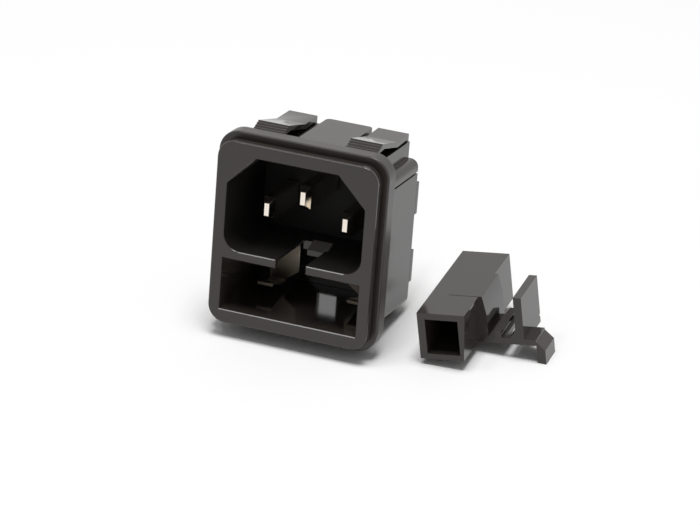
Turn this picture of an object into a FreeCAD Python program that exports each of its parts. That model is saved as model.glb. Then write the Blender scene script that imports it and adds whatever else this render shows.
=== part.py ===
"""Snap-in mains inlet with a fuse compartment, and its fuse drawer lying beside it.

Millimetres.  +X to the right and +Z up as seen from the front, +Y into the panel.
The origin is the centre of the panel cut-out, on the rear face of the flange,
so everything with a negative Y stands in front of the panel.
"""
import FreeCAD, Part

import math
import os

import Sketcher

Vector = FreeCAD.Vector

# How many steps a latch wedge has, and how far one feature is let into another.
RIDGES = 4
ROOT = 0.5

# Driving dimensions.  Each one becomes a named cell of the sheet "sizes".
DIMENSIONS = {
    # connector recess, which the rest is built round
    "recess_width": 24.4,
    "recess_height": 16.46,
    "recess_depth": 16.5,
    "recess_chamfer": 5.0,
    "mouth_break": 0.2,
    "recess_round": 2.9,
    "recess_back_wall": 1.0,
    # fuse well below it
    "divider_thickness": 1.55,
    "well_width": 24.4,
    "well_height": 8.89,
    "notch_width": 5.3,
    "notch_depth": 11.8,
    # thin floor on the left of the notch, behind the divider's front bar
    "bar_depth": 1.0,
    "floor_skin": 0.5,
    "relief_width": 1.7,
    "relief_end": 14.6,
    # walls of the body behind the panel
    "side_wall": 0.8,
    "end_wall": 0.85,
    "cavity_depth": 3.85,
    "body_corner": 1.5,
    "shoulder_drop": 2.83,
    "shoulder_inset": 1.85,
    "shoulder_round": 1.4,
    "seam_drop": 5.22,
    "seam_width": 0.3,
    "seam_depth": 0.35,
    "block_width": 8.4,
    "block_rise": 0.85,
    "block_overhang": 1.0,
    "block_corner": 0.9,
    # front face, shadow gap and flange, each by how far it stands out
    "face_side_margin": 1.2,
    "face_end_margin": 1.5,
    "face_corner": 3.0,
    "face_thickness": 1.75,
    "face_edge": 0.35,
    "gap_width": 0.9,
    "gap_inset": 0.85,
    "flange_side_margin": 0.91,
    "flange_end_margin": 1.0,
    "flange_corner": 3.7,
    "flange_thickness": 3.0,
    "flange_edge": 0.3,
    # tongue under the divider, which keeps the drawer shut
    "tongue_left": 0.4,
    "tongue_right": 3.1,
    "tongue_start": 8.05,
    "tongue_end": 10.6,
    "tongue_thickness": 0.9,
    "tongue_low": -0.2,
    "tongue_high": 0.85,
    "tongue_step": 0.3,
    "tongue_lap": 0.5,
    # spring latches
    "latch_thickness": 0.87,
    "latch_gap": 0.42,
    "latch_flat": 5.4,
    "latch_root": 0.95,
    "crest_rise": 3.14,
    "crest_place": 2.5,
    "heel_reach": 1.0,
    "foot_thickness": 0.25,
    "ridge_pitch": 0.58,
    "ridge_drop": 0.26,
    "ridge_bite": 0.1,
    "left_latch_inside": 5.25,
    "left_latch_outside": 10.76,
    "left_root_step": 0.35,
    "right_latch_inside": 5.37,
    "right_latch_outside": 11.4,
    "right_crest_step": 0.38,
    "right_root_step": 0.5,
    # pins and terminals
    "pin_pitch": 14.0,
    "pin_offset": 3.8,
    "pin_thickness": 2.0,
    "pin_width": 4.0,
    "pin_tip_depth": 5.2,
    "earth_tip_depth": 3.4,
    "pin_tail": 1.05,
    "tip_thickness": 0.85,
    "tip_width": 2.2,
    "tip_taper": 1.2,
    "pin_clearance": 0.05,
    "tab_width": 4.8,
    "tab_thickness": 0.8,
    "tab_length": 8.45,
    "tab_root_gap": 0.1,
    "tab_bevel": 1.0,
    "tab_hole": 1.4,
    "tab_hole_place": 3.2,
    "neutral_tab_rise": 1.225,
    # fuse and its clips
    "fuse_drop": 0.275,
    "fuse_place": 11.8,
    "clip_inside": 6.7,
    "clip_outside": 9.5,
    "clip_sheet": 0.5,
    "clip_lip_reach": 0.3,
    "clip_pinch_reach": 2.0,
    "clip_bend_reach": 2.05,
    "clip_web_reach": 3.0,
    "clip_lip": 1.75,
    "clip_pinch": 1.5,
    "clip_half": 2.6,
    "web_inside": 4.5,
    "web_foot": 0.85,
    "web_low": 2.45,
    "web_high": 4.4,
    "load_tab_rise": 1.825,
    # rear cover
    "cover_thickness": 1.2,
    "cover_clearance": 0.05,
    "slot_clearance": 0.1,
    "boss_width": 2.9,
    "boss_height": 5.6,
    "boss_rise": 1.1,
    "window_width": 3.5,
    "window_height": 4.0,
    "window_aside": 1.1,
    "window_drop": 0.525,
    # fuse drawer, in its own axes: depth, length, height
    "drawer_play": 0.15,
    "tube_play": 0.31,
    "tube_depth": 8.27,
    "bore_front_wall": 1.3,
    "bore_depth": 5.65,
    "bore_floor": 0.95,
    "bore_height": 6.2,
    "bore_end_wall": 1.5,
    "relief_depth": 0.75,
    "relief_drop": 0.37,
    "cradle_start": 7.3,
    "cradle_length": 8.9,
    "cap_left": 3.2,
    "cap_rise": 0.05,
    "seat_width": 4.8,
    "fin_setback": 0.55,
    "fin_slope_height": 5.3,
    "plate_thickness": 1.0,
    "rib_aside": 1.0,
    "rib_width": 1.3,
    "rib_height": 2.2,
    "slot_aside": 2.7,
    "slot_width": 0.8,
    "slot_margin": 0.6,
    "wall_thickness": 1.4,
    "wall_height": 8.5,
    "wall_foot_rise": 2.35,
    "wall_tail_cut": 0.65,
    "strip_width": 4.9,
    "strip_reach": 2.0,
    "hook_thickness": 1.5,
    "hook_drop": 3.3,
    "hook_slope": 1.8,
    "lug_play": 0.2,
    "lug_depth": 1.4,
    "lug_height": 1.0,
    # where the drawer lies on the table
    "drawer_across": 21.95,
    "drawer_along": -2.44,
    "drawer_turn": 3.15,
}


class Size:
    """A length that carries its number and the sheet formula it comes from."""

    def __init__(self, number, formula):
        self.number = number
        self.formula = formula

    def __add__(self, other):
        other = as_size(other)
        return Size(self.number + other.number, f"({self.formula} + {other.formula})")

    def __sub__(self, other):
        other = as_size(other)
        return Size(self.number - other.number, f"({self.formula} - {other.formula})")

    def __mul__(self, factor):
        factor = as_size(factor)
        return Size(self.number * factor.number, f"({self.formula} * {factor.formula})")

    def __truediv__(self, divisor):
        divisor = as_size(divisor)
        return Size(self.number / divisor.number, f"({self.formula} / {divisor.formula})")

    def __neg__(self):
        return self * -1

    __radd__ = __add__
    __rmul__ = __mul__


def as_size(value):
    """Wraps a plain number so that it can be mixed with sheet sizes."""
    return value if isinstance(value, Size) else Size(value, f"({value})")


class Sizes:
    """The sheet's cells as attributes."""

    def __init__(self, document):
        self.sheet = document.addObject("Spreadsheet::Sheet", "sizes")
        for row, (alias, value) in enumerate(DIMENSIONS.items(), start=1):
            self.sheet.set(f"A{row}", alias.replace("_", " "))
            self.sheet.set(f"B{row}", str(value))
            self.sheet.setAlias(f"B{row}", alias)
            setattr(self, alias, Size(value, f"sizes.{alias}"))


document = FreeCAD.newDocument("fused_inlet")
size = Sizes(document)
document.recompute()

# Outlines of the front, from the recess outwards.
body_width = size.recess_width + size.side_wall * 2
body_height = size.recess_height + size.divider_thickness + size.well_height + size.end_wall * 2
half_body = body_width / 2
half_tall = body_height / 2
half_face = half_body + size.face_side_margin
half_face_tall = half_tall + size.face_end_margin
half_flange = half_face + size.flange_side_margin
half_flange_tall = half_face_tall + size.flange_end_margin
shoulder_height = half_tall - size.shoulder_drop
seam_height = half_tall - size.seam_drop

# Heights of the two cavities.
recess_half = size.recess_width / 2
recess_top = half_tall - size.end_wall
recess_floor = recess_top - size.recess_height
recess_centre = recess_top - size.recess_height / 2
well_half = size.well_width / 2
well_top = recess_floor - size.divider_thickness
well_floor = well_top - size.well_height
fuse_height = well_top - size.well_height / 2 - size.fuse_drop

# Depths behind the panel face.
front = size.face_thickness + size.gap_width + size.flange_thickness
recess_back = size.recess_depth - front
cavity_front = recess_back + size.recess_back_wall
body_depth = cavity_front + size.cavity_depth
cover_front = body_depth - size.cover_thickness
tab_root = cavity_front + size.tab_root_gap
tab_end = body_depth + size.tab_length
clip_pinch_depth = size.fuse_place - size.clip_pinch_reach - front
clip_front = clip_pinch_depth - size.clip_lip_reach
clip_bend = size.fuse_place + size.clip_bend_reach - front
clip_web = size.fuse_place + size.clip_web_reach - front

# Pins and terminals.
lower_pins = recess_centre - size.pin_offset / 2
earth_height = recess_centre + size.pin_offset / 2
pin_side = size.pin_pitch / 2 + size.pin_thickness / 2
neutral_tab_height = lower_pins + size.neutral_tab_rise
load_tab_height = fuse_height + size.load_tab_rise

# Latches.
arm_top = half_tall + size.latch_gap + size.latch_thickness
crest_height = half_tall + size.crest_rise

# The drawer's own sizes, from the well and the fuse that it fits.
drawer_length = size.well_width - size.drawer_play * 2
tube_height = size.well_height - size.tube_play * 2
fin_reach = size.fuse_place - size.seat_width / 2
wall_place = size.fuse_place + size.seat_width / 2
wall_right = wall_place + size.wall_thickness
hook_place = wall_right + size.strip_reach
hook_reach = hook_place + size.hook_thickness


def new_body(name):
    """An empty body whose label is the name of its file."""
    body = document.addObject("PartDesign::Body", name)
    body.Label = name
    return body


def plane(body, role):
    """One of the body's own origin planes."""
    return next(item for item in body.Origin.OriginFeatures if item.Role == role)


def sketch_on(body, role, name, offset=None):
    """A sketch on an origin plane, moved along the plane's normal."""
    sketch = body.newObject("Sketcher::SketchObject", name)
    sketch.AttachmentSupport = (plane(body, role), "")
    sketch.MapMode = "FlatFace"
    if offset is not None:
        sketch.AttachmentOffset = FreeCAD.Placement(Vector(0, 0, offset.number), FreeCAD.Rotation())
        sketch.setExpression("AttachmentOffset.Base.z", offset.formula)
    return sketch


def facing_front(body, name, depth):
    """A sketch seen from the front, at the given depth behind the panel face."""
    return sketch_on(body, "XZ_Plane", name, -as_size(depth))


def hollow_arc(start, end, radius):
    """An arc from start to end, clockwise round a centre on the right of the way."""
    chord = end - start
    rise = math.sqrt(radius ** 2 - (chord.Length / 2) ** 2)
    to_right = Vector(chord.y, -chord.x, 0).normalize()
    centre = (start + end) / 2 + to_right * rise
    first_angle, last_angle = (math.atan2(*reversed((point - centre)[:2])) for point in (end, start))
    return Part.ArcOfCircle(Part.Circle(centre, Vector(0, 0, 1), radius), first_angle, last_angle)


def outline(sketch, points, hollows=None):
    """A closed line through the points, each corner held by the sheet.

    hollows gives the radius of each side that curves inwards, by the number of its first point.
    """
    hollows = hollows or {}
    corners = [(as_size(across), as_size(up)) for across, up in points]
    places = [Vector(across.number, up.number, 0) for across, up in corners]
    first = sketch.GeometryCount
    for index, start in enumerate(places):
        end = places[(index + 1) % len(places)]
        if index in hollows:
            sketch.addGeometry(hollow_arc(start, end, hollows[index].number), False)
        else:
            sketch.addGeometry(Part.LineSegment(start, end), False)
    for index in range(len(corners)):
        following = (index + 1) % len(corners)
        leaves_at = 1 if index in hollows else 2
        arrives_at = 2 if following in hollows else 1
        sketch.addConstraint(Sketcher.Constraint(
            "Coincident", first + index, leaves_at, first + following, arrives_at))
    for index, corner in enumerate(corners):
        vertex = 2 if index in hollows else 1
        for kind, place in zip(("DistanceX", "DistanceY"), corner):
            held = sketch.addConstraint(
                Sketcher.Constraint(kind, -1, 1, first + index, vertex, place.number))
            sketch.setExpression(f"Constraints[{held}]", place.formula)
    for index, radius in hollows.items():
        held = sketch.addConstraint(Sketcher.Constraint("Radius", first + index, radius.number))
        sketch.setExpression(f"Constraints[{held}]", radius.formula)


def rectangle(sketch, left, right, low, high):
    """A rectangle between four places."""
    outline(sketch, [(left, low), (right, low), (right, high), (left, high)])


def circle(sketch, across, up, diameter):
    """A full circle round a point."""
    radius = as_size(diameter) / 2
    centre = Vector(across.number, up.number, 0)
    index = sketch.addGeometry(Part.Circle(centre, Vector(0, 0, 1), radius.number), False)
    for kind, place in (("DistanceX", across), ("DistanceY", up)):
        held = sketch.addConstraint(Sketcher.Constraint(kind, -1, 1, index, 3, place.number))
        sketch.setExpression(f"Constraints[{held}]", place.formula)
    held = sketch.addConstraint(Sketcher.Constraint("Radius", index, radius.number))
    sketch.setExpression(f"Constraints[{held}]", radius.formula)


def extrude(kind, body, sketch, name, length, reverse):
    """A pad or a pocket of the sketch, with its length bound to the sheet."""
    feature = body.newObject(f"PartDesign::{kind}", name)
    feature.Profile = sketch
    feature.Length = length.number
    feature.setExpression("Length", length.formula)
    feature.Reversed = reverse
    body.Tip = feature
    document.recompute()
    return feature


def volume(body):
    """The body's volume so far."""
    return 0 if body.Shape.isNull() else body.Shape.Volume


def pad(body, sketch, name, length, reverse=False):
    """Adds material along the sketch's normal, or against it when reversed."""
    before = volume(body)
    feature = extrude("Pad", body, sketch, name, as_size(length), reverse)
    if volume(body) <= before:
        raise RuntimeError(f"{name} adds nothing")
    return feature


def pocket(body, sketch, name, length, reverse=False):
    """Removes material against the sketch's normal, or along it when reversed."""
    before = volume(body)
    feature = extrude("Pocket", body, sketch, name, as_size(length), reverse)
    if volume(body) >= before:
        raise RuntimeError(f"{name} cuts nothing")
    return feature


def dress(kind, body, name, edges, amount):
    """A fillet or chamfer on the named edges."""
    amount = as_size(amount)
    label, key = {"Fillet": ("Fillet", "Radius"), "Chamfer": ("Chamfer", "Size")}[kind]
    base = body.Tip
    feature = body.newObject(f"PartDesign::{label}", name)
    feature.Base = (base, edges)
    setattr(feature, key, amount.number)
    feature.setExpression(key, amount.formula)
    body.Tip = feature
    document.recompute()
    return feature


def edge_names(body, wanted):
    """Names of the body's edges that pass a test on their ends and middle."""
    return [f"Edge{index}" for index, edge in enumerate(body.Shape.Edges, start=1) if wanted(edge)]


def near(first, second, slack=1e-3):
    """True where two numbers are the same place."""
    return abs(first - second) < slack


def runs_along(edge, axis):
    """True for a straight edge that is parallel to the axis."""
    ends = [vertex.Point for vertex in edge.Vertexes]
    if len(ends) != 2 or edge.Curve.TypeId != "Part::GeomLine":
        return False
    return (ends[1] - ends[0]).normalize().cross(axis).Length < 1e-6


def depth_edges(body, across, up, low=-1e9, high=1e9):
    """Edges that run front to back at a place (x, z), on either side, between two depths."""
    def wanted(edge):
        middle = edge.CenterOfMass
        placed = near(abs(middle.x), across.number) and near(middle.z, up.number)
        return placed and low < middle.y < high and runs_along(edge, Vector(0, 1, 0))
    return edge_names(body, wanted)


def rim_edges(body, depth):
    """All edges that lie in the plane at the given depth."""
    def wanted(edge):
        box = edge.BoundBox
        return near(box.YMin, depth.number) and near(box.YMax, depth.number)
    return edge_names(body, wanted)


def rounded_plate(body, name, half_width, half_height, corner, rear, thickness):
    """A plate with four round corners that stands forward of the given depth."""
    sketch = facing_front(body, f"{name}_outline", rear)
    rectangle(sketch, -half_width, half_width, -half_height, half_height)
    pad(body, sketch, name, thickness)
    low = (rear - thickness).number
    high = as_size(rear).number
    edges = depth_edges(body, half_width, half_height, low, high)
    edges += depth_edges(body, half_width, -half_height, low, high)
    dress("Fillet", body, f"{name}_corners", edges, corner)


def chamfered_recess(half_width, low, high, chamfer):
    """The connector outline: both top corners cut at 45 degrees."""
    return [
        (-half_width, low),
        (half_width, low),
        (half_width, high - chamfer),
        (half_width - chamfer, high),
        (-half_width + chamfer, high),
        (-half_width, high - chamfer),
    ]


def latch_profile():
    """Side view of a spring latch: root at the rear, a ramp up to the crest, a stepped free end."""
    bend = body_depth - size.latch_flat
    underside = half_tall + size.latch_gap
    slope = (crest_height - arm_top) / (bend - size.crest_place)
    heel_height = crest_height - slope * size.heel_reach - size.latch_thickness
    points = [
        (body_depth - size.latch_root, half_tall),
        (body_depth, half_tall),
        (body_depth, arm_top),
        (bend, arm_top),
        (size.crest_place, crest_height),
    ]
    place = size.crest_place
    height = crest_height
    for _ in range(RIDGES):
        height = height - size.ridge_drop
        points.append((place - size.ridge_bite, height))
        place = place - size.ridge_pitch
        points.append((place, height))
    points.append((place, height - size.foot_thickness))
    points.append((size.crest_place + size.heel_reach, heel_height))
    points.append((bend, underside))
    points.append((body_depth - size.latch_root, underside))
    return points


def build_latches(body):
    """Four latches, two above and two below.  From above, each one narrows to its root."""
    left_in, left_out = -size.left_latch_inside, -size.left_latch_outside
    right_in, right_out = size.right_latch_inside, size.right_latch_outside
    crest = size.crest_place
    features = []
    for side, inner, outer in (("left", left_out, left_in), ("right", right_in, right_out)):
        sketch = sketch_on(body, "YZ_Plane", f"{side}_latch_outline", inner)
        outline(sketch, latch_profile())
        features.append(pad(body, sketch, f"{side}_latch", outer - inner))

    # Slivers beside the arms are cut away, between the panel and the rear.
    foot = size.crest_place - size.ridge_pitch * RIDGES
    sketch = sketch_on(body, "XY_Plane", "latch_sides", crest_height)
    outline(sketch, [
        (left_in, crest),
        (left_in + ROOT, crest),
        (left_in + ROOT, body_depth),
        (left_in - size.left_root_step, body_depth),
    ])
    outline(sketch, [
        (right_in + size.right_crest_step, foot),
        (right_in + size.right_crest_step, crest),
        (right_in, body_depth),
        (right_in - ROOT, body_depth),
        (right_in - ROOT, foot),
    ])
    outline(sketch, [
        (right_out, crest),
        (right_out + ROOT, crest),
        (right_out + ROOT, body_depth),
        (right_out - size.right_root_step, body_depth),
    ])
    features.append(pocket(body, sketch, "latch_trim", crest_height - half_tall))
    mirror = body.newObject("PartDesign::Mirrored", "lower_latches")
    mirror.Originals = features
    mirror.MirrorPlane = (plane(body, "XY_Plane"), [""])
    body.Tip = mirror
    document.recompute()


def build_housing():
    """The one-piece front moulding: face, flange, both cavities and four latches."""
    body = new_body("housing")
    rounded_plate(body, "flange", half_flange, half_flange_tall, size.flange_corner,
                  as_size(0), size.flange_thickness)
    rims = rim_edges(body, -size.flange_thickness) + rim_edges(body, as_size(0))
    dress("Fillet", body, "flange_rims", rims, size.flange_edge)
    rounded_plate(body, "shadow_gap", half_face - size.gap_inset, half_face_tall - size.gap_inset,
                  size.face_corner - size.gap_inset, -size.flange_thickness, size.gap_width)
    rounded_plate(body, "face", half_face, half_face_tall, size.face_corner,
                  -size.flange_thickness - size.gap_width, size.face_thickness)
    dress("Fillet", body, "face_rim", rim_edges(body, -front), size.face_edge)

    shoulder = half_body - size.shoulder_inset
    sketch = facing_front(body, "body_outline", 0)
    outline(sketch, [
        (-half_body, -half_tall),
        (half_body, -half_tall),
        (half_body, shoulder_height),
        (shoulder, shoulder_height),
        (shoulder, half_tall),
        (-shoulder, half_tall),
        (-shoulder, shoulder_height),
        (-half_body, shoulder_height),
    ])
    pad(body, sketch, "rear_body", body_depth, reverse=True)
    dress("Fillet", body, "body_corners", depth_edges(body, half_body, -half_tall), size.body_corner)
    dress("Fillet", body, "shoulders", depth_edges(body, half_body, shoulder_height),
          size.shoulder_round)

    half_block = size.block_width / 2
    sketch = facing_front(body, "block_outline", 0)
    rectangle(sketch, -half_block, half_block, half_tall - ROOT, half_tall + size.block_rise)
    pad(body, sketch, "centre_block", body_depth + size.block_overhang, reverse=True)
    block_rear = (body_depth + size.block_overhang).number

    def block_corner(edge):
        middle = edge.CenterOfMass
        placed = near(abs(middle.x), half_block.number) and near(middle.y, block_rear)
        return placed and runs_along(edge, Vector(0, 0, 1))

    dress("Fillet", body, "block_corners", edge_names(body, block_corner), size.block_corner)

    sketch = facing_front(body, "recess_outline", -front)
    outline(sketch, chamfered_recess(recess_half, recess_floor, recess_top, size.recess_chamfer))
    pocket(body, sketch, "connector_recess", size.recess_depth)
    floor_corners = depth_edges(body, recess_half, recess_floor)
    dress("Fillet", body, "recess_corners", floor_corners, size.recess_round)

    sketch = facing_front(body, "well_outline", -front)
    rectangle(sketch, -well_half, well_half, well_floor, well_top)
    pocket(body, sketch, "fuse_well", front + body_depth)

    sketch = facing_front(body, "cavity_outline", body_depth)
    outline(sketch, chamfered_recess(recess_half, well_floor, recess_top, size.recess_chamfer))
    pocket(body, sketch, "terminal_cavity", body_depth - cavity_front, reverse=True)

    sketch = sketch_on(body, "XY_Plane", "notch_outline", recess_floor)
    rectangle(sketch, -size.notch_width / 2, size.notch_width / 2, -front, size.notch_depth - front)
    pocket(body, sketch, "lug_notch", size.divider_thickness)
    sketch = sketch_on(body, "XY_Plane", "relief_outline", recess_floor - size.floor_skin)
    rectangle(sketch, -size.notch_width / 2 - size.relief_width, -size.notch_width / 2,
              size.bar_depth - front, size.relief_end - front)
    pocket(body, sketch, "divider_relief", size.divider_thickness - size.floor_skin)

    sketch = sketch_on(body, "YZ_Plane", "tongue_outline", -size.tongue_left)
    tongue_front = recess_floor + size.tongue_low
    tongue_rear = recess_floor + size.tongue_high
    tongue_foot = size.notch_depth + size.tongue_lap - front
    outline(sketch, [
        (size.tongue_start - front, tongue_front - size.tongue_thickness),
        (tongue_foot, tongue_front - size.tongue_thickness),
        (tongue_foot, recess_floor - size.tongue_step),
        (size.tongue_end - front, recess_floor - size.tongue_step),
        (size.tongue_end - front, tongue_rear),
        (size.tongue_start - front, tongue_front),
    ])
    pad(body, sketch, "drawer_tongue", size.tongue_left + size.tongue_right)

    def mouth_edge(edge):
        box = edge.BoundBox
        flat = near(box.YMin, -front.number) and near(box.YMax, -front.number)
        return flat and max(abs(box.XMin), abs(box.XMax)) < half_body.number - ROOT

    dress("Chamfer", body, "mouth_break", edge_names(body, mouth_edge), size.mouth_break)

    clearance = size.pin_clearance
    sketch = facing_front(body, "pin_slots", recess_back)
    for across, up in ((-size.pin_pitch / 2, lower_pins), (size.pin_pitch / 2, lower_pins),
                       (as_size(0), earth_height)):
        half_thick = size.pin_thickness / 2 + clearance
        half_wide = size.pin_width / 2 + clearance
        rectangle(sketch, across - half_thick, across + half_thick, up - half_wide, up + half_wide)
    pocket(body, sketch, "pin_seats", size.recess_back_wall)

    sketch = facing_front(body, "seam_outline", body_depth)
    seam_high = seam_height + size.seam_width
    rectangle(sketch, half_body - size.seam_depth, half_body + ROOT, seam_height, seam_high)
    rectangle(sketch, -half_body - ROOT, -half_body + size.seam_depth, seam_height, seam_high)
    pocket(body, sketch, "seam", body_depth, reverse=True)

    build_latches(body)
    return body


def build_rear_cover():
    """The plate that closes the terminal cavity, with slots for the tabs."""
    body = new_body("rear_cover")
    clearance = size.cover_clearance
    sketch = facing_front(body, "cover_outline", cover_front)
    outline(sketch, chamfered_recess(recess_half - clearance, well_floor + clearance,
                                     recess_top - clearance, size.recess_chamfer))
    pad(body, sketch, "cover", size.cover_thickness, reverse=True)
    sketch = facing_front(body, "boss_outline", body_depth)
    half_boss = size.boss_height / 2
    for centre in (neutral_tab_height, load_tab_height):
        for left in (half_body - size.boss_width, -half_body):
            rectangle(sketch, left, left + size.boss_width, centre - half_boss, centre + half_boss)
    pad(body, sketch, "bosses", size.boss_rise, reverse=True)

    gap = size.slot_clearance
    half_tab = size.tab_width / 2
    sheet_left = pin_side - gap
    sketch = facing_front(body, "tab_slots", cover_front)
    rectangle(sketch, sheet_left, pin_side + size.tab_thickness + gap,
              neutral_tab_height - half_tab - gap, neutral_tab_height + half_tab + gap)
    rectangle(sketch, sheet_left, pin_side + size.clip_sheet + gap,
              load_tab_height - half_tab - gap, load_tab_height + half_tab + gap)
    earth_low = earth_height + size.pin_width / 2
    rectangle(sketch, -half_tab - gap, half_tab + gap, earth_low - gap, earth_low + size.tab_thickness + gap)
    half_window = size.window_width / 2
    half_window_tall = size.window_height / 2
    window_centre = fuse_height - size.window_drop
    rectangle(sketch, -size.window_aside - half_window, -size.window_aside + half_window,
              window_centre - half_window_tall, window_centre + half_window_tall)
    pocket(body, sketch, "slots", size.cover_thickness)
    return body


def build_pin(name, across, up, tip_depth):
    """A flat blade with a tapered tip, through the back wall of the recess."""
    body = new_body(name)
    tip = tip_depth - front
    taper_end = tip + size.tip_taper
    sections = []
    for label, place, thick, wide in (("tip", tip, size.tip_thickness, size.tip_width),
                                      ("shank", taper_end, size.pin_thickness, size.pin_width)):
        sketch = facing_front(body, f"{name}_{label}", place)
        rectangle(sketch, across - thick / 2, across + thick / 2, up - wide / 2, up + wide / 2)
        sections.append(sketch)
    loft = body.newObject("PartDesign::AdditiveLoft", f"{name}_point")
    loft.Profile = sections[0]
    loft.Sections = [sections[1]]
    loft.Ruled = True
    body.Tip = loft
    document.recompute()
    sketch = facing_front(body, f"{name}_section", taper_end)
    half_thick = size.pin_thickness / 2
    half_wide = size.pin_width / 2
    rectangle(sketch, across - half_thick, across + half_thick, up - half_wide, up + half_wide)
    pad(body, sketch, f"{name}_blade", cavity_front + size.pin_tail - taper_end, reverse=True)
    return body


def tab_outline(sketch, centre, start, swap=False):
    """A push-on terminal tab with a bevelled end and its locking hole."""
    half = size.tab_width / 2
    bevel = size.tab_bevel
    points = [
        (start, centre - half),
        (tab_end - bevel, centre - half),
        (tab_end, centre - half + bevel / 2),
        (tab_end, centre + half - bevel / 2),
        (tab_end - bevel, centre + half),
        (start, centre + half),
    ]
    hole = (tab_end - size.tab_hole_place, centre)
    if swap:
        points = [(up, along) for along, up in points]
        hole = (hole[1], hole[0])
    outline(sketch, points)
    circle(sketch, hole[0], hole[1], size.tab_hole)


def build_neutral_tab():
    """The upright tab that is joined to the side of the neutral pin."""
    body = new_body("neutral_tab")
    sketch = sketch_on(body, "YZ_Plane", "neutral_tab_outline", pin_side)
    tab_outline(sketch, neutral_tab_height, tab_root)
    pad(body, sketch, "neutral_tab_sheet", size.tab_thickness)
    return body


def build_earth_tab():
    """The flat tab that lies on top of the earth pin."""
    body = new_body("earth_tab")
    sketch = sketch_on(body, "XY_Plane", "earth_tab_outline", earth_height + size.pin_width / 2)
    tab_outline(sketch, as_size(0), tab_root, swap=True)
    pad(body, sketch, "earth_tab_sheet", size.tab_thickness)
    return body


def clip_profile():
    """Side view of the fuse clip: a web behind and two jaws that pinch, then flare."""
    sheet = size.clip_sheet
    web_rear = clip_web + sheet
    upper = [
        (web_rear, size.clip_half + sheet),
        (clip_bend, size.clip_half + sheet),
        (clip_pinch_depth, size.clip_pinch + sheet),
        (clip_front, size.clip_lip + sheet),
        (clip_front, size.clip_lip),
        (clip_pinch_depth, size.clip_pinch),
        (clip_bend, size.clip_half),
        (clip_web, size.clip_half),
    ]
    lower = [(along, -offset) for along, offset in reversed(upper)]
    return [(along, fuse_height + offset) for along, offset in upper + lower]


def add_clip(body, side):
    """The jaws and the wide web of a fuse clip, on the right or, mirrored, on the left."""
    inside, outside, web = size.clip_inside, size.clip_outside, size.web_inside
    low = fuse_height - size.web_low
    high = fuse_height + size.web_high
    jaw_start = inside if side > 0 else -outside
    sketch = sketch_on(body, "YZ_Plane", f"{body.Name}_jaw_outline", jaw_start)
    outline(sketch, clip_profile())
    pad(body, sketch, f"{body.Name}_jaws", outside - inside)
    sketch = facing_front(body, f"{body.Name}_web_outline", clip_web)
    outline(sketch, [
        (web * side, high),
        (outside * side, high),
        (outside * side, low),
        (inside * side, low),
        (web * side, fuse_height - size.web_foot),
    ])
    pad(body, sketch, f"{body.Name}_web", size.clip_sheet, reverse=True)
    return low, high


def build_line_contact():
    """The clip that joins the line pin to the near cap of the fuse."""
    body = new_body("line_fuse_contact")
    low, high = add_clip(body, -1)
    tail_end = cavity_front + size.pin_tail
    riser_start = cavity_front + size.pin_clearance * 3
    riser_top = lower_pins + size.pin_width / 2
    sketch = sketch_on(body, "YZ_Plane", "line_tail_outline", -pin_side - size.clip_sheet)
    outline(sketch, [
        (clip_web, low),
        (tail_end, low),
        (tail_end, riser_top),
        (riser_start, riser_top),
        (riser_start, high),
        (clip_web, high),
    ])
    pad(body, sketch, "line_tail", size.clip_sheet)
    return body


def build_load_contact():
    """The clip at the other cap, in one sheet with the line terminal tab."""
    body = new_body("load_fuse_contact")
    low, high = add_clip(body, 1)
    sketch = sketch_on(body, "YZ_Plane", "load_tail_outline", pin_side)
    rectangle(sketch, clip_web, cavity_front + size.pin_tail, low, high)
    pad(body, sketch, "load_tail", size.clip_sheet)
    sketch = sketch_on(body, "YZ_Plane", "load_tab_outline", pin_side)
    tab_outline(sketch, load_tab_height, cavity_front)
    pad(body, sketch, "load_tab", size.clip_sheet)
    return body


def resting_tilt():
    """How far the inlet leans back when it stands on its lower latches."""
    rise = crest_height - arm_top
    run = body_depth - size.crest_place
    return math.atan2(rise.number, run.number)


def drawer_placement():
    """The drawer rests on its pull lug and on the tip of its hook."""
    tilt = resting_tilt()
    normal = Vector(0, -math.sin(tilt), math.cos(tilt))
    across = Vector(1, 0, 0)
    along = normal.cross(across)
    crest = Vector(0, size.crest_place.number, -crest_height.number)
    turn = math.radians(size.drawer_turn.number)
    length_axis = across * -math.sin(turn) + along * math.cos(turn)
    level_axis = length_axis.cross(normal)
    drop = size.hook_drop.number - size.lug_height.number
    roll = math.atan2(drop, hook_reach.number)
    depth_axis = level_axis * math.cos(roll) + normal * math.sin(roll)
    height_axis = depth_axis.cross(length_axis)
    lift = size.lug_height.number * math.cos(roll)
    corner = crest + across * size.drawer_across.number + along * size.drawer_along.number + normal * lift
    matrix = FreeCAD.Matrix(
        depth_axis.x, length_axis.x, height_axis.x, corner.x,
        depth_axis.y, length_axis.y, height_axis.y, corner.y,
        depth_axis.z, length_axis.z, height_axis.z, corner.z,
        0, 0, 0, 1)
    return FreeCAD.Placement(matrix)


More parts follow.
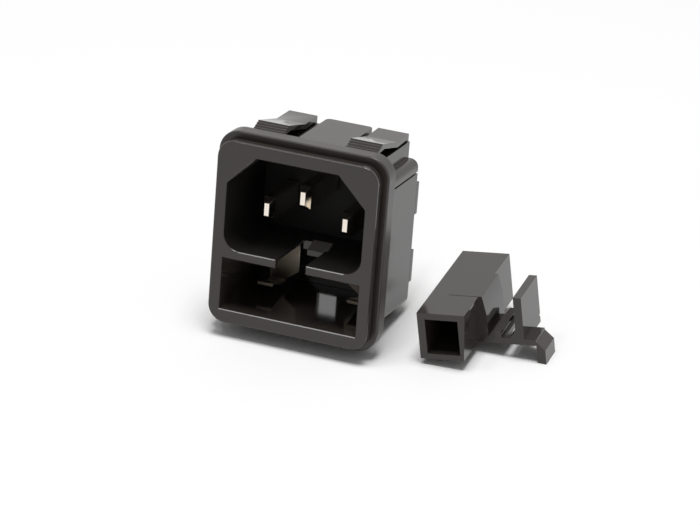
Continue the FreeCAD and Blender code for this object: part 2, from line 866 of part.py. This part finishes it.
def build_drawer():
    """The fuse drawer: a tube for the spare fuse and an open cradle for the live one."""
    body = new_body("fuse_drawer")
    length = drawer_length
    start = size.cradle_start
    stop = start + size.cradle_length

    def seen_from_end(name, place):
        return facing_front(body, name, place)

    sketch = seen_from_end("tube_outline", 0)
    rectangle(sketch, as_size(0), size.tube_depth, as_size(0), tube_height)
    pad(body, sketch, "tube", length, reverse=True)
    relief_top = tube_height - size.relief_drop
    sketch = seen_from_end("relief_outline", 0)
    outline(sketch, [
        (size.tube_depth - size.relief_depth, as_size(0)),
        (size.tube_depth + ROOT, as_size(0)),
        (size.tube_depth + ROOT, relief_top),
        (size.tube_depth, relief_top),
    ])
    pocket(body, sketch, "side_relief", start)

    sketch = seen_from_end("cradle_outline", start)
    outline(sketch, [
        (size.tube_depth - ROOT, as_size(0)),
        (hook_place, as_size(0)),
        (hook_place, size.plate_thickness),
        (fin_reach, size.plate_thickness),
        (fin_reach, size.fin_slope_height),
        (fin_reach - size.fin_setback, tube_height + size.cap_rise),
        (size.cap_left, tube_height + size.cap_rise),
        (size.cap_left, tube_height - ROOT),
        (size.tube_depth - ROOT, tube_height - ROOT),
    ])
    pad(body, sketch, "cradle", size.cradle_length, reverse=True)

    sketch = seen_from_end("rib_outline", start)
    rib_place = fin_reach + size.rib_aside
    rectangle(sketch, rib_place, rib_place + size.rib_width, size.plate_thickness - ROOT, size.rib_height)
    pad(body, sketch, "fuse_rib", size.cradle_length, reverse=True)

    sketch = seen_from_end("wall_outline", start)
    slot_place = fin_reach + size.slot_aside
    slot_right = slot_place + size.slot_width
    foot = wall_place - slot_right
    foot_radius = (foot * foot + size.wall_foot_rise * size.wall_foot_rise) / (foot * 2)
    outline(sketch, [
        (slot_right, size.plate_thickness - ROOT),
        (wall_right, size.plate_thickness - ROOT),
        (wall_right, size.wall_height),
        (wall_place, size.wall_height),
        (wall_place, size.plate_thickness + size.wall_foot_rise),
        (slot_right, size.plate_thickness),
    ], hollows={4: foot_radius})
    pad(body, sketch, "fuse_wall", size.cradle_length, reverse=True)
    sketch = sketch_on(body, "YZ_Plane", "tail_outline", wall_right)
    outline(sketch, [
        (stop - size.wall_tail_cut, size.plate_thickness),
        (stop + ROOT, size.plate_thickness),
        (stop + ROOT, size.plate_thickness + size.wall_tail_cut),
        (stop, size.plate_thickness + size.wall_tail_cut),
    ])
    pocket(body, sketch, "wall_tail", wall_right - slot_right)

    sketch = sketch_on(body, "XY_Plane", "slot_outline", size.plate_thickness)
    rectangle(sketch, slot_place, slot_right, start + size.slot_margin, stop - size.slot_margin)
    pocket(body, sketch, "plate_slot", size.plate_thickness)

    # The plate is narrower beyond the wall: only the hook's strip goes on.
    sketch = sketch_on(body, "XY_Plane", "strip_outline", size.plate_thickness)
    rectangle(sketch, wall_right, hook_place + ROOT, start + size.strip_width, stop + ROOT)
    pocket(body, sketch, "strip_side", size.plate_thickness)

    sketch = seen_from_end("hook_outline", start)
    outline(sketch, [
        (hook_place - ROOT, as_size(0)),
        (hook_place, as_size(0)),
        (hook_place, -size.hook_drop),
        (hook_reach, -size.hook_drop),
        (hook_reach, size.plate_thickness - size.hook_slope),
        (hook_reach - size.hook_slope, size.plate_thickness),
        (hook_place - ROOT, size.plate_thickness),
    ])
    pad(body, sketch, "hook", size.strip_width, reverse=True)

    centre = length / 2
    half_lug = size.notch_width / 2 - size.lug_play
    sketch = sketch_on(body, "XY_Plane", "lug_outline")
    rectangle(sketch, as_size(0), size.lug_depth, centre - half_lug, centre + half_lug)
    pad(body, sketch, "pull_lug", size.lug_height, reverse=True)

    sketch = seen_from_end("bore_outline", 0)
    rectangle(sketch, size.bore_front_wall, size.bore_front_wall + size.bore_depth,
              size.bore_floor, size.bore_floor + size.bore_height)
    pocket(body, sketch, "spare_fuse_bore", length - size.bore_end_wall)

    body.Placement = drawer_placement()
    document.recompute()
    return body


bodies = [
    build_housing(),
    build_rear_cover(),
    build_pin("line_pin", -size.pin_pitch / 2, lower_pins, size.pin_tip_depth),
    build_pin("neutral_pin", size.pin_pitch / 2, lower_pins, size.pin_tip_depth),
    build_pin("earth_pin", as_size(0), earth_height, size.earth_tip_depth),
    build_neutral_tab(),
    build_earth_tab(),
    build_line_contact(),
    build_load_contact(),
    build_drawer(),
]

document.recompute()
for item in document.Objects:
    if "Invalid" in item.State or "Error" in item.State:
        raise RuntimeError(f"{item.Label} failed: {item.State}")
for body in bodies:
    if body.Shape.isNull() or not body.Shape.isValid() or len(body.Shape.Solids) != 1:
        raise RuntimeError(f"{body.Label} is not one sound solid")

os.makedirs("parts", exist_ok=True)
for body in bodies:
    body.Shape.exportStep(os.path.join("parts", f"{body.Label}.step"))
    box = body.Shape.BoundBox
    print(f"{body.Label}: {body.Shape.Volume:.1f} mm3, "
          f"{box.XLength:.2f} x {box.YLength:.2f} x {box.ZLength:.2f} mm")
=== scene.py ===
"""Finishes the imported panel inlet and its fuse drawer, and stands them in a small white studio.

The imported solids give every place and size.  Each moulding and each metal piece is taken over as a
softened copy, whose edges have the small radii that tools leave, and gets a finish of its own.
"""

import logging
import math
from dataclasses import dataclass, field
from enum import Enum

import bpy
from mathutils import Matrix, Quaternion, Vector

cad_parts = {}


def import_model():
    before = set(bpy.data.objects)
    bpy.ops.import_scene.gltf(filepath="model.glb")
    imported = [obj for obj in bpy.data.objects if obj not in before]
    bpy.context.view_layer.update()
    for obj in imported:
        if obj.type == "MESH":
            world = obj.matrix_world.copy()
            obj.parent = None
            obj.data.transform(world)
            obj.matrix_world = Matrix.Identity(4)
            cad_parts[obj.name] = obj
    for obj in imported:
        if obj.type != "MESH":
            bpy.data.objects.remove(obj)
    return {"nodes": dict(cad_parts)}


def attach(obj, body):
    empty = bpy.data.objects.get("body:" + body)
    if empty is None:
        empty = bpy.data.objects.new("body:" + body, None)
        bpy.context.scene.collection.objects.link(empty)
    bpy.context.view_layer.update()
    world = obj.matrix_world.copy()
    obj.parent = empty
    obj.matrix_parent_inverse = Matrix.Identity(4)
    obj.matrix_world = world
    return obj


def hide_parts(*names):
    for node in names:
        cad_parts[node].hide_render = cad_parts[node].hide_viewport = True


MM = 0.001
ROOT_BODY = "root"

# The sRGB curve: a straight foot up to the knee and a power above it.
SRGB_KNEE = 0.04045
SRGB_FOOT = 12.92
SRGB_OFFSET = 0.055
SRGB_POWER = 2.4

# Nearly all values of a noise texture lie between these two.
NOISE_LOW = 0.3
NOISE_HIGH = 0.7

log = logging.getLogger("inlet")


# --------------------------------------------------------------------------- colour and nodes


def linear(hex_colour: str) -> tuple[float, float, float, float]:
    """Turns an sRGB hex colour into linear RGBA.

    Args:
        hex_colour: Six hex digits, such as "1c1c1d".

    Returns:
        The colour as a shader socket takes it, with alpha 1.
    """
    channels = []
    for start in (0, 2, 4):
        value = int(hex_colour[start:start + 2], 16) / 255
        if value <= SRGB_KNEE:
            channels.append(value / SRGB_FOOT)
        else:
            channels.append(((value + SRGB_OFFSET) / (1 + SRGB_OFFSET)) ** SRGB_POWER)
    return (*channels, 1.0)


def add_node(tree: bpy.types.NodeTree, kind: str, links: dict | None = None,
             values: dict | None = None, **settings: object) -> bpy.types.Node:
    """Adds one node with its settings, constants and incoming links.

    Args:
        tree: The node tree that gets the node.
        kind: The node's Blender type.
        links: Input names or numbers, each with the output socket that feeds it.
        values: Input names or numbers, each with its constant.
        **settings: Properties of the node itself.

    Returns:
        The new node.
    """
    node = tree.nodes.new(kind)
    for name, setting in settings.items():
        setattr(node, name, setting)
    for socket, value in (values or {}).items():
        node.inputs[socket].default_value = value
    for socket, source in (links or {}).items():
        tree.links.new(source, node.inputs[socket])
    return node


def new_material(name: str) -> tuple[bpy.types.Material, bpy.types.NodeTree]:
    """Makes an empty node material.

    Args:
        name: The material's name.

    Returns:
        The material and its cleared node tree.
    """
    material = bpy.data.materials.new(name)
    material.use_nodes = True
    material.node_tree.nodes.clear()
    return material, material.node_tree


def noise(tree: bpy.types.NodeTree, place: bpy.types.NodeSocket, width_mm: float, detail: float,
          roughness: float = 0.5) -> bpy.types.NodeSocket:
    """Adds a noise pattern.

    Args:
        tree: The node tree that gets the pattern.
        place: The coordinates, in metres.
        width_mm: The width in which the pattern repeats about once.
        detail: How many finer layers lie on the pattern.
        roughness: How strongly the finer layers count.

    Returns:
        The pattern's value, about 0.5 on average.
    """
    return add_node(tree, "ShaderNodeTexNoise", {"Vector": place},
                    {"Scale": 1 / (width_mm * MM), "Detail": detail,
                     "Roughness": roughness}).outputs["Fac"]


def spread(tree: bpy.types.NodeTree, pattern: bpy.types.NodeSocket, low: float,
           high: float) -> bpy.types.NodeSocket:
    """Spreads a noise pattern over a range.

    Args:
        tree: The node tree that gets the node.
        pattern: The noise pattern.
        low: The value where the pattern is darkest.
        high: The value where the pattern is brightest.

    Returns:
        The spread value.
    """
    return add_node(tree, "ShaderNodeMapRange", {"Value": pattern},
                    {"From Min": NOISE_LOW, "From Max": NOISE_HIGH, "To Min": low,
                     "To Max": high}).outputs["Result"]


def relief(tree: bpy.types.NodeTree, pattern: bpy.types.NodeSocket,
           height_mm: float) -> bpy.types.NodeSocket:
    """Turns a noise pattern into a relief on the surface.

    Args:
        tree: The node tree that gets the node.
        pattern: The noise pattern.
        height_mm: The height that the pattern's full range stands for.

    Returns:
        The normal that a shader takes.
    """
    return add_node(tree, "ShaderNodeBump", {"Height": pattern},
                    {"Strength": 1.0, "Distance": height_mm * MM}).outputs["Normal"]


# --------------------------------------------------------------------------- finishes


@dataclass(frozen=True)
class MouldedPlastic:
    """Black glass-filled polyamide: an even, warm black with a soft sheen that mirrors the lamps."""

    name: str
    colour: str = "302b28"
    worn_colour: str = "36312e"
    roughness: float = 0.1
    roughness_spread: float = 0.02
    # The grain of a real mould is finer; it is drawn wide enough to break up the mirrored edges.
    grain_mm: float = 0.16
    grain_height_mm: float = 0.0004
    # Broad, faint clouds, as the melt leaves them, keep a large flat from looking painted.
    flow_mm: float = 6.0
    ior: float = 1.49

    def material(self) -> bpy.types.Material:
        """Builds the node material.

        Returns:
            The finished material.
        """
        material, tree = new_material(self.name)
        place = add_node(tree, "ShaderNodeTexCoord").outputs["Object"]
        grain = noise(tree, place, self.grain_mm, detail=2.0, roughness=0.6)
        flow = noise(tree, place, self.flow_mm, detail=4.0, roughness=0.55)
        rough = spread(tree, flow, self.roughness - self.roughness_spread,
                       self.roughness + self.roughness_spread)
        tint = add_node(tree, "ShaderNodeMix", {"Factor": flow},
                        {"A": linear(self.colour), "B": linear(self.worn_colour)}, data_type="RGBA")
        shader = add_node(tree, "ShaderNodeBsdfPrincipled",
                          {"Base Color": tint.outputs["Result"], "Roughness": rough,
                           "Normal": relief(tree, grain, self.grain_height_mm)}, {"IOR": self.ior})
        add_node(tree, "ShaderNodeOutputMaterial", {"Surface": shader.outputs["BSDF"]})
        return material


@dataclass(frozen=True)
class PlatedMetal:
    """Plated brass, rolled and stamped: a warm white metal with fine lines from front to back."""

    name: str
    colour: str = "ece3d6"
    roughness: float = 0.13
    # Small stains make the metal duller or cleaner by this much, so that it glints unevenly.
    cleaner: float = 0.04
    duller: float = 0.06
    stain_mm: float = 2.0
    # Real rolling lines are finer; these are drawn wide enough to show.
    line_mm: float = 0.12
    line_length_mm: float = 4.0
    line_height_mm: float = 0.0003

    def material(self) -> bpy.types.Material:
        """Builds the node material.

        Returns:
            The finished material.
        """
        material, tree = new_material(self.name)
        place = add_node(tree, "ShaderNodeTexCoord").outputs["Object"]
        stretch = add_node(tree, "ShaderNodeMapping", {"Vector": place},
                           {"Scale": (1.0, self.line_mm / self.line_length_mm, 1.0)})
        lines = noise(tree, stretch.outputs["Vector"], self.line_mm, detail=3.0)
        stain = noise(tree, place, self.stain_mm, detail=3.0)
        rough = spread(tree, stain, self.roughness - self.cleaner, self.roughness + self.duller)
        shader = add_node(tree, "ShaderNodeBsdfPrincipled",
                          {"Roughness": rough, "Normal": relief(tree, lines, self.line_height_mm)},
                          {"Base Color": linear(self.colour), "Metallic": 1.0})
        add_node(tree, "ShaderNodeOutputMaterial", {"Surface": shader.outputs["BSDF"]})
        return material


@dataclass(frozen=True)
class SweepPaper:
    """Matt white background paper: no gloss, and it keeps the soft shadows."""

    name: str = "matt_background_paper"
    colour: str = "ffffff"

    def material(self) -> bpy.types.Material:
        """Builds the node material.

        Returns:
            The finished material.
        """
        material, tree = new_material(self.name)
        shader = add_node(tree, "ShaderNodeBsdfDiffuse", values={"Color": linear(self.colour)})
        add_node(tree, "ShaderNodeOutputMaterial", {"Surface": shader.outputs["BSDF"]})
        return material


# --------------------------------------------------------------------------- mesh work


def deselect() -> None:
    """Deselects every object."""
    bpy.ops.object.select_all(action="DESELECT")


def activate(piece: bpy.types.Object) -> None:
    """Makes one object the only selected and the active one.

    Args:
        piece: The object.
    """
    deselect()
    piece.select_set(True)
    bpy.context.view_layer.objects.active = piece


@dataclass(frozen=True)
class Zone:
    """A box in the inlet's frame, in millimetres."""

    low: tuple[float, float, float]
    high: tuple[float, float, float]

    def holds(self, place: Vector) -> bool:
        """Says whether a place lies in the box.

        Args:
            place: The place, in metres.

        Returns:
            True for a place in the box.
        """
        return all(low <= value / MM <= high
                   for low, value, high in zip(self.low, place, self.high))


@dataclass(frozen=True)
class Softener:
    """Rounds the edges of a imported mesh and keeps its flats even."""

    # Corners closer than this are one corner, and faces that turn by less are one face.
    merge_mm: float = 0.002
    level_deg: float = 0.5
    # Edges that turn by more than this are rounded, with this many facets.
    sharp_deg: float = 32.0
    facets: int = 2
    # Edges that turn by less than this are shaded smooth.
    smooth_deg: float = 24.0
    # A face larger than this is a flat, and flats that turn by more keep a crease between them.
    flat_mm2: float = 1.5
    crease_deg: float = 4.0
    # At 100 the largest faces alone decide how the light falls on a flat.
    flat_weight: int = 100

    def soften(self, source: bpy.types.Object, name: str, radius_mm: float) -> bpy.types.Object:
        """Takes a mesh over as a copy whose edges are rounded.

        Args:
            source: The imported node's object, which stays as it is.
            name: The new piece's name.
            radius_mm: The width of the rounding.

        Returns:
            The new piece.
        """
        piece = bpy.data.objects.new(name, source.data.copy())
        bpy.context.scene.collection.objects.link(piece)
        piece.data.materials.clear()
        activate(piece)
        self.clean()
        self.round_edges(piece, radius_mm)
        bpy.ops.object.shade_smooth_by_angle(angle=math.radians(self.smooth_deg))
        self.crease_flats(piece.data)
        self.even_flats(piece)
        return piece

    def clean(self) -> None:
        """Clears the active mesh's stored normals and joins its triangles into whole faces."""
        bpy.ops.object.mode_set(mode="EDIT")
        bpy.ops.mesh.select_all(action="SELECT")
        bpy.ops.mesh.customdata_custom_splitnormals_clear()
        bpy.ops.mesh.remove_doubles(threshold=self.merge_mm * MM)
        bpy.ops.mesh.dissolve_limited(angle_limit=math.radians(self.level_deg))
        bpy.ops.object.mode_set(mode="OBJECT")

    def round_edges(self, piece: bpy.types.Object, radius_mm: float) -> None:
        """Rounds every sharp edge.

        Args:
            piece: The active object.
            radius_mm: The width of the rounding.
        """
        bevel = piece.modifiers.new("edge_radius", "BEVEL")
        bevel.width = radius_mm * MM
        bevel.segments = self.facets
        bevel.limit_method = "ANGLE"
        bevel.angle_limit = math.radians(self.sharp_deg)
        bevel.use_clamp_overlap = True
        bevel.harden_normals = False
        bevel.miter_outer = "MITER_ARC"
        bpy.ops.object.modifier_apply(modifier=bevel.name)

    def crease_flats(self, mesh: bpy.types.Mesh) -> None:
        """Keeps the line between two large flat faces crisp, however little they turn.

        Args:
            mesh: The mesh.
        """
        flats: dict[tuple[int, int], list[Vector]] = {}
        for face in mesh.polygons:
            if face.area > self.flat_mm2 * MM * MM:
                for key in face.edge_keys:
                    flats.setdefault(key, []).append(face.normal)
        for edge in mesh.edges:
            normals = flats.get(edge.key, [])
            if len(normals) == 2 and normals[0].angle(normals[1]) > math.radians(self.crease_deg):
                edge.use_edge_sharp = True

    def even_flats(self, piece: bpy.types.Object) -> None:
        """Lets the flats set the shading of the roundings beside them.

        Args:
            piece: The active object.
        """
        even = piece.modifiers.new("even_flats", "WEIGHTED_NORMAL")
        even.mode = "FACE_AREA"
        even.weight = self.flat_weight
        even.keep_sharp = True
        bpy.ops.object.modifier_apply(modifier=even.name)


# --------------------------------------------------------------------------- the pieces


class Slot(Enum):
    """The record's material slots."""

    HOUSING = "housing_plastic"
    COVER = "cover_plastic"
    DRAWER = "drawer_plastic"
    PINS = "plated_pins"
    TERMINALS = "plated_terminals"
    CLIPS = "plated_clips"


@dataclass(frozen=True)
class Dressed:
    """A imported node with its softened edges, its finish, and other finishes in some zones."""

    node: str
    slot: Slot
    finish: MouldedPlastic | PlatedMetal
    radius_mm: float
    inner: tuple[tuple[Zone, MouldedPlastic | PlatedMetal], ...] = ()

    def build(self, nodes: dict[str, bpy.types.Object]) -> bpy.types.Object:
        """Makes the piece and dresses it.

        Args:
            nodes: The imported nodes' objects by name.

        Returns:
            The finished piece, which stands for the node.
        """
        piece = Softener().soften(nodes[self.node], f"{self.node}_finished", self.radius_mm)
        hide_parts(self.node)
        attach(piece, ROOT_BODY)
        piece.data.materials.append(self.finish.material())
        self.dress_zones(piece.data)
        log.info("%s: %d faces", piece.name, len(piece.data.polygons))
        return piece

    def dress_zones(self, mesh: bpy.types.Mesh) -> None:
        """Gives each zone's finish to the faces that lie in the zone with all their corners.

        Args:
            mesh: The mesh, which has the main finish.
        """
        for index, (zone, finish) in enumerate(self.inner, start=1):
            mesh.materials.append(finish.material())
            for face in mesh.polygons:
                if all(zone.holds(mesh.vertices[corner].co) for corner in face.vertices):
                    face.material_index = index


# The recess's own walls and back, behind their rounded edges.  They are dull and almost without
# a sheen, and painted darker than the moulding round them as painted shade, so that the recess
# reads as a dark hollow round the bright pins.
RECESS_WALLS = Zone((-12.35, -5.55, -3.15), (12.35, 11.1, 13.6))
DULL_RECESS_PAINTED_SHADE = MouldedPlastic("recess_dull_painted_shade_polyamide", "161413", "1a1817", roughness=0.6,
                              roughness_spread=0.05, grain_height_mm=0.004, ior=1.3)

# The tongue that holds the drawer shut is painted a lighter grey than the moulding round it: painted
# light, standing in for the light the tongue catches.
DRAWER_TONGUE = Zone((-0.45, 2.35, -3.7), (3.15, 5.0, -2.0))
TONGUE_PAINTED_LIGHT = MouldedPlastic("tongue_painted_light_polyamide", "6a6664", "74706d", roughness=0.35,
                               roughness_spread=0.05)

# The flange's rim is duller than the flats, so it mirrors the lamps only softly.
FLANGE_RIM = Zone((-15.3, -3.1, -17.0), (15.3, 0.1, 17.0))
GRAINED_RIM = MouldedPlastic("rim_grained_polyamide", roughness=0.3)

# Tin on the tabs is a cool white.  The jaws and webs of the fuse clips are painted a dull brown
# grey instead, as painted shade, so that they stay dim in the well.
TIN = "e4e1da"
CLIP_PAINTED_SHADE = "6e665b"
DULL_CLIP_ROUGHNESS = 0.3
CLIP_JAWS = Zone((4.0, 0.0, -13.0), (10.0, 11.0, -4.0))

PIECES = (
    # The housing's recess walls take painted shade, and its drawer tongue painted light.
    Dressed("housing", Slot.HOUSING, MouldedPlastic("housing_moulded_polyamide"), radius_mm=0.05,
            inner=((RECESS_WALLS, DULL_RECESS_PAINTED_SHADE), (DRAWER_TONGUE, TONGUE_PAINTED_LIGHT),
                   (FLANGE_RIM, GRAINED_RIM))),
    Dressed("rear_cover", Slot.COVER, MouldedPlastic("cover_moulded_polyamide"), radius_mm=0.06),
    Dressed("fuse_drawer", Slot.DRAWER, MouldedPlastic("drawer_moulded_polyamide"), radius_mm=0.08),
    Dressed("line_pin", Slot.PINS, PlatedMetal("line_pin_nickel_plate"), radius_mm=0.08),
    Dressed("neutral_pin", Slot.PINS, PlatedMetal("neutral_pin_nickel_plate"), radius_mm=0.08),
    Dressed("earth_pin", Slot.PINS, PlatedMetal("earth_pin_nickel_plate"), radius_mm=0.08),
    Dressed("neutral_tab", Slot.TERMINALS, PlatedMetal("neutral_tab_tin_plate", TIN), radius_mm=0.05),
    Dressed("earth_tab", Slot.TERMINALS, PlatedMetal("earth_tab_tin_plate", TIN), radius_mm=0.05),
    # The fuse clips' dull brown grey is painted shade.
    Dressed("line_fuse_contact", Slot.CLIPS,
            PlatedMetal("line_clip_painted_shade_tin", CLIP_PAINTED_SHADE, DULL_CLIP_ROUGHNESS), radius_mm=0.04),
    Dressed("load_fuse_contact", Slot.CLIPS, PlatedMetal("load_tab_tin_plate", TIN), radius_mm=0.04,
            inner=((CLIP_JAWS, PlatedMetal("load_clip_painted_shade_tin", CLIP_PAINTED_SHADE, DULL_CLIP_ROUGHNESS)),)),
)


# --------------------------------------------------------------------------- the studio


def way_to(azimuth_deg: float, elevation_deg: float) -> Vector:
    """Gives the way from the inlet to a place round it.

    Args:
        azimuth_deg: 0 is straight in front of the inlet and 90 is to its right.
        elevation_deg: The height over the level of the inlet's own frame.

    Returns:
        The way, one unit long.
    """
    azimuth = math.radians(azimuth_deg)
    elevation = math.radians(elevation_deg)
    return Vector((math.sin(azimuth) * math.cos(elevation),
                   -math.cos(azimuth) * math.cos(elevation), math.sin(elevation)))


def looking_back(way: Vector) -> Quaternion:
    """Turns a camera or lamp that stands that way so that it looks back."""
    return (-way).to_track_quat("-Z", "Y")


@dataclass(frozen=True)
class Camera:
    """A long lens that looks down on the inlet from its right."""

    aim_mm: tuple[float, float, float] = (13.631, -13.949, 2.434)
    distance_mm: float = 640.0
    azimuth_deg: float = 21.1
    elevation_deg: float = 19.696
    roll_deg: float = 4.424
    lens_mm: float = 205.714
    sensor_mm: float = 36.0
    nearest_mm: float = 10.0
    farthest_mm: float = 10000.0

    def build(self) -> None:
        """Makes the camera and gives it to the scene."""
        data = bpy.data.cameras.new("camera")
        data.lens = self.lens_mm
        data.sensor_width = self.sensor_mm
        data.clip_start = self.nearest_mm * MM
        data.clip_end = self.farthest_mm * MM
        camera = bpy.data.objects.new("camera", data)
        bpy.context.scene.collection.objects.link(camera)
        back = way_to(self.azimuth_deg, self.elevation_deg)
        roll = Quaternion((0, 0, 1), math.radians(self.roll_deg))
        camera.location = (Vector(self.aim_mm) + back * self.distance_mm) * MM
        camera.rotation_mode = "QUATERNION"
        camera.rotation_quaternion = looking_back(back) @ roll
        bpy.context.scene.camera = camera


@dataclass(frozen=True)
class Table:
    """The white surface that the inlet leans back on, on its lower latches."""

    # Depth and height of the two places where a lower latch touches the table.
    latch_crest_mm: tuple[float, float] = (2.5, -17.44)
    latch_root_mm: tuple[float, float] = (15.7, -15.59)
    size_mm: tuple[float, float] = (1200.0, 900.0)
    behind_mm: float = 250.0

    def tilt(self) -> float:
        """Works out the slope of the table in the inlet's frame.

        Returns:
            The slope, in radians.
        """
        run = self.latch_root_mm[0] - self.latch_crest_mm[0]
        rise = self.latch_root_mm[1] - self.latch_crest_mm[1]
        return math.atan2(rise, run)

    def build(self) -> None:
        """Makes the surface."""
        tilt = self.tilt()
        turn = Matrix.Rotation(tilt, 4, "X")
        crest = Vector((0, *self.latch_crest_mm)) * MM
        offset = turn @ Vector((0, (self.behind_mm - self.size_mm[1] / 2) * MM, 0))
        deselect()
        bpy.ops.mesh.primitive_plane_add(size=1, location=crest + offset, rotation=(tilt, 0, 0))
        table = bpy.context.object
        table.name = "table"
        table.scale = (self.size_mm[0] * MM, self.size_mm[1] * MM, 1)
        bpy.ops.object.transform_apply(location=True, rotation=True, scale=True)
        table.data.materials.append(SweepPaper().material())


@dataclass(frozen=True)
class Softbox:
    """A square area lamp that points at the middle of the inlet's flange."""

    name: str
    azimuth_deg: float
    elevation_deg: float
    distance_mm: float
    size_mm: float
    watts: float

    def build(self) -> None:
        """Makes the lamp."""
        data = bpy.data.lights.new(self.name, "AREA")
        data.shape = "SQUARE"
        data.size = self.size_mm * MM
        data.energy = self.watts
        lamp = bpy.data.objects.new(self.name, data)
        bpy.context.scene.collection.objects.link(lamp)
        way = way_to(self.azimuth_deg, self.elevation_deg)
        lamp.location = way * self.distance_mm * MM
        lamp.rotation_mode = "QUATERNION"
        lamp.rotation_quaternion = looking_back(way)


@dataclass(frozen=True)
class Surroundings:
    """White walls all round: a little plain light, and nearly white where seen or mirrored."""

    light: float = 0.28
    mirrored: float = 0.9

    def build(self) -> None:
        """Makes the world."""
        world = bpy.data.worlds.new("white_room")
        bpy.context.scene.world = world
        world.use_nodes = True
        tree = world.node_tree
        tree.nodes.clear()
        rays = add_node(tree, "ShaderNodeLightPath")
        seen = add_node(tree, "ShaderNodeMath",
                        {0: rays.outputs["Is Camera Ray"], 1: rays.outputs["Is Glossy Ray"]},
                        operation="MAXIMUM")
        strength = add_node(tree, "ShaderNodeMapRange", {"Value": seen.outputs[0]},
                            {"To Min": self.light, "To Max": self.mirrored})
        glow = add_node(tree, "ShaderNodeBackground", {"Strength": strength.outputs["Result"]},
                        {"Color": (1.0, 1.0, 1.0, 1.0)})
        add_node(tree, "ShaderNodeOutputWorld", {"Surface": glow.outputs["Background"]})


@dataclass(frozen=True)
class Studio:
    """Camera, table, lamps and surroundings."""

    camera: Camera = field(default_factory=Camera)
    table: Table = field(default_factory=Table)
    surroundings: Surroundings = field(default_factory=Surroundings)
    softboxes: tuple[Softbox, ...] = (
        Softbox("overhead_key", azimuth_deg=12.0, elevation_deg=79.0, distance_mm=1000.0,
                size_mm=420.0, watts=7.5),
        Softbox("front_edge_softbox", azimuth_deg=-46.0, elevation_deg=61.5, distance_mm=1000.0,
                size_mm=160.0, watts=0.6),
    )

    def build(self) -> None:
        """Builds everything round the object."""
        self.camera.build()
        self.table.build()
        self.surroundings.build()
        for softbox in self.softboxes:
            softbox.build()
        bpy.context.scene.view_settings.view_transform = "Standard"


# --------------------------------------------------------------------------- the whole scene


def main() -> None:
    """Loads the frame, finishes each piece and builds the studio."""
    logging.basicConfig(level=logging.INFO, format="%(name)s: %(message)s")
    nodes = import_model()["nodes"]
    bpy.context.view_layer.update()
    deselect()
    for piece in PIECES:
        piece.build(nodes)
    Studio().build()


if __name__ == "__main__":
    main()
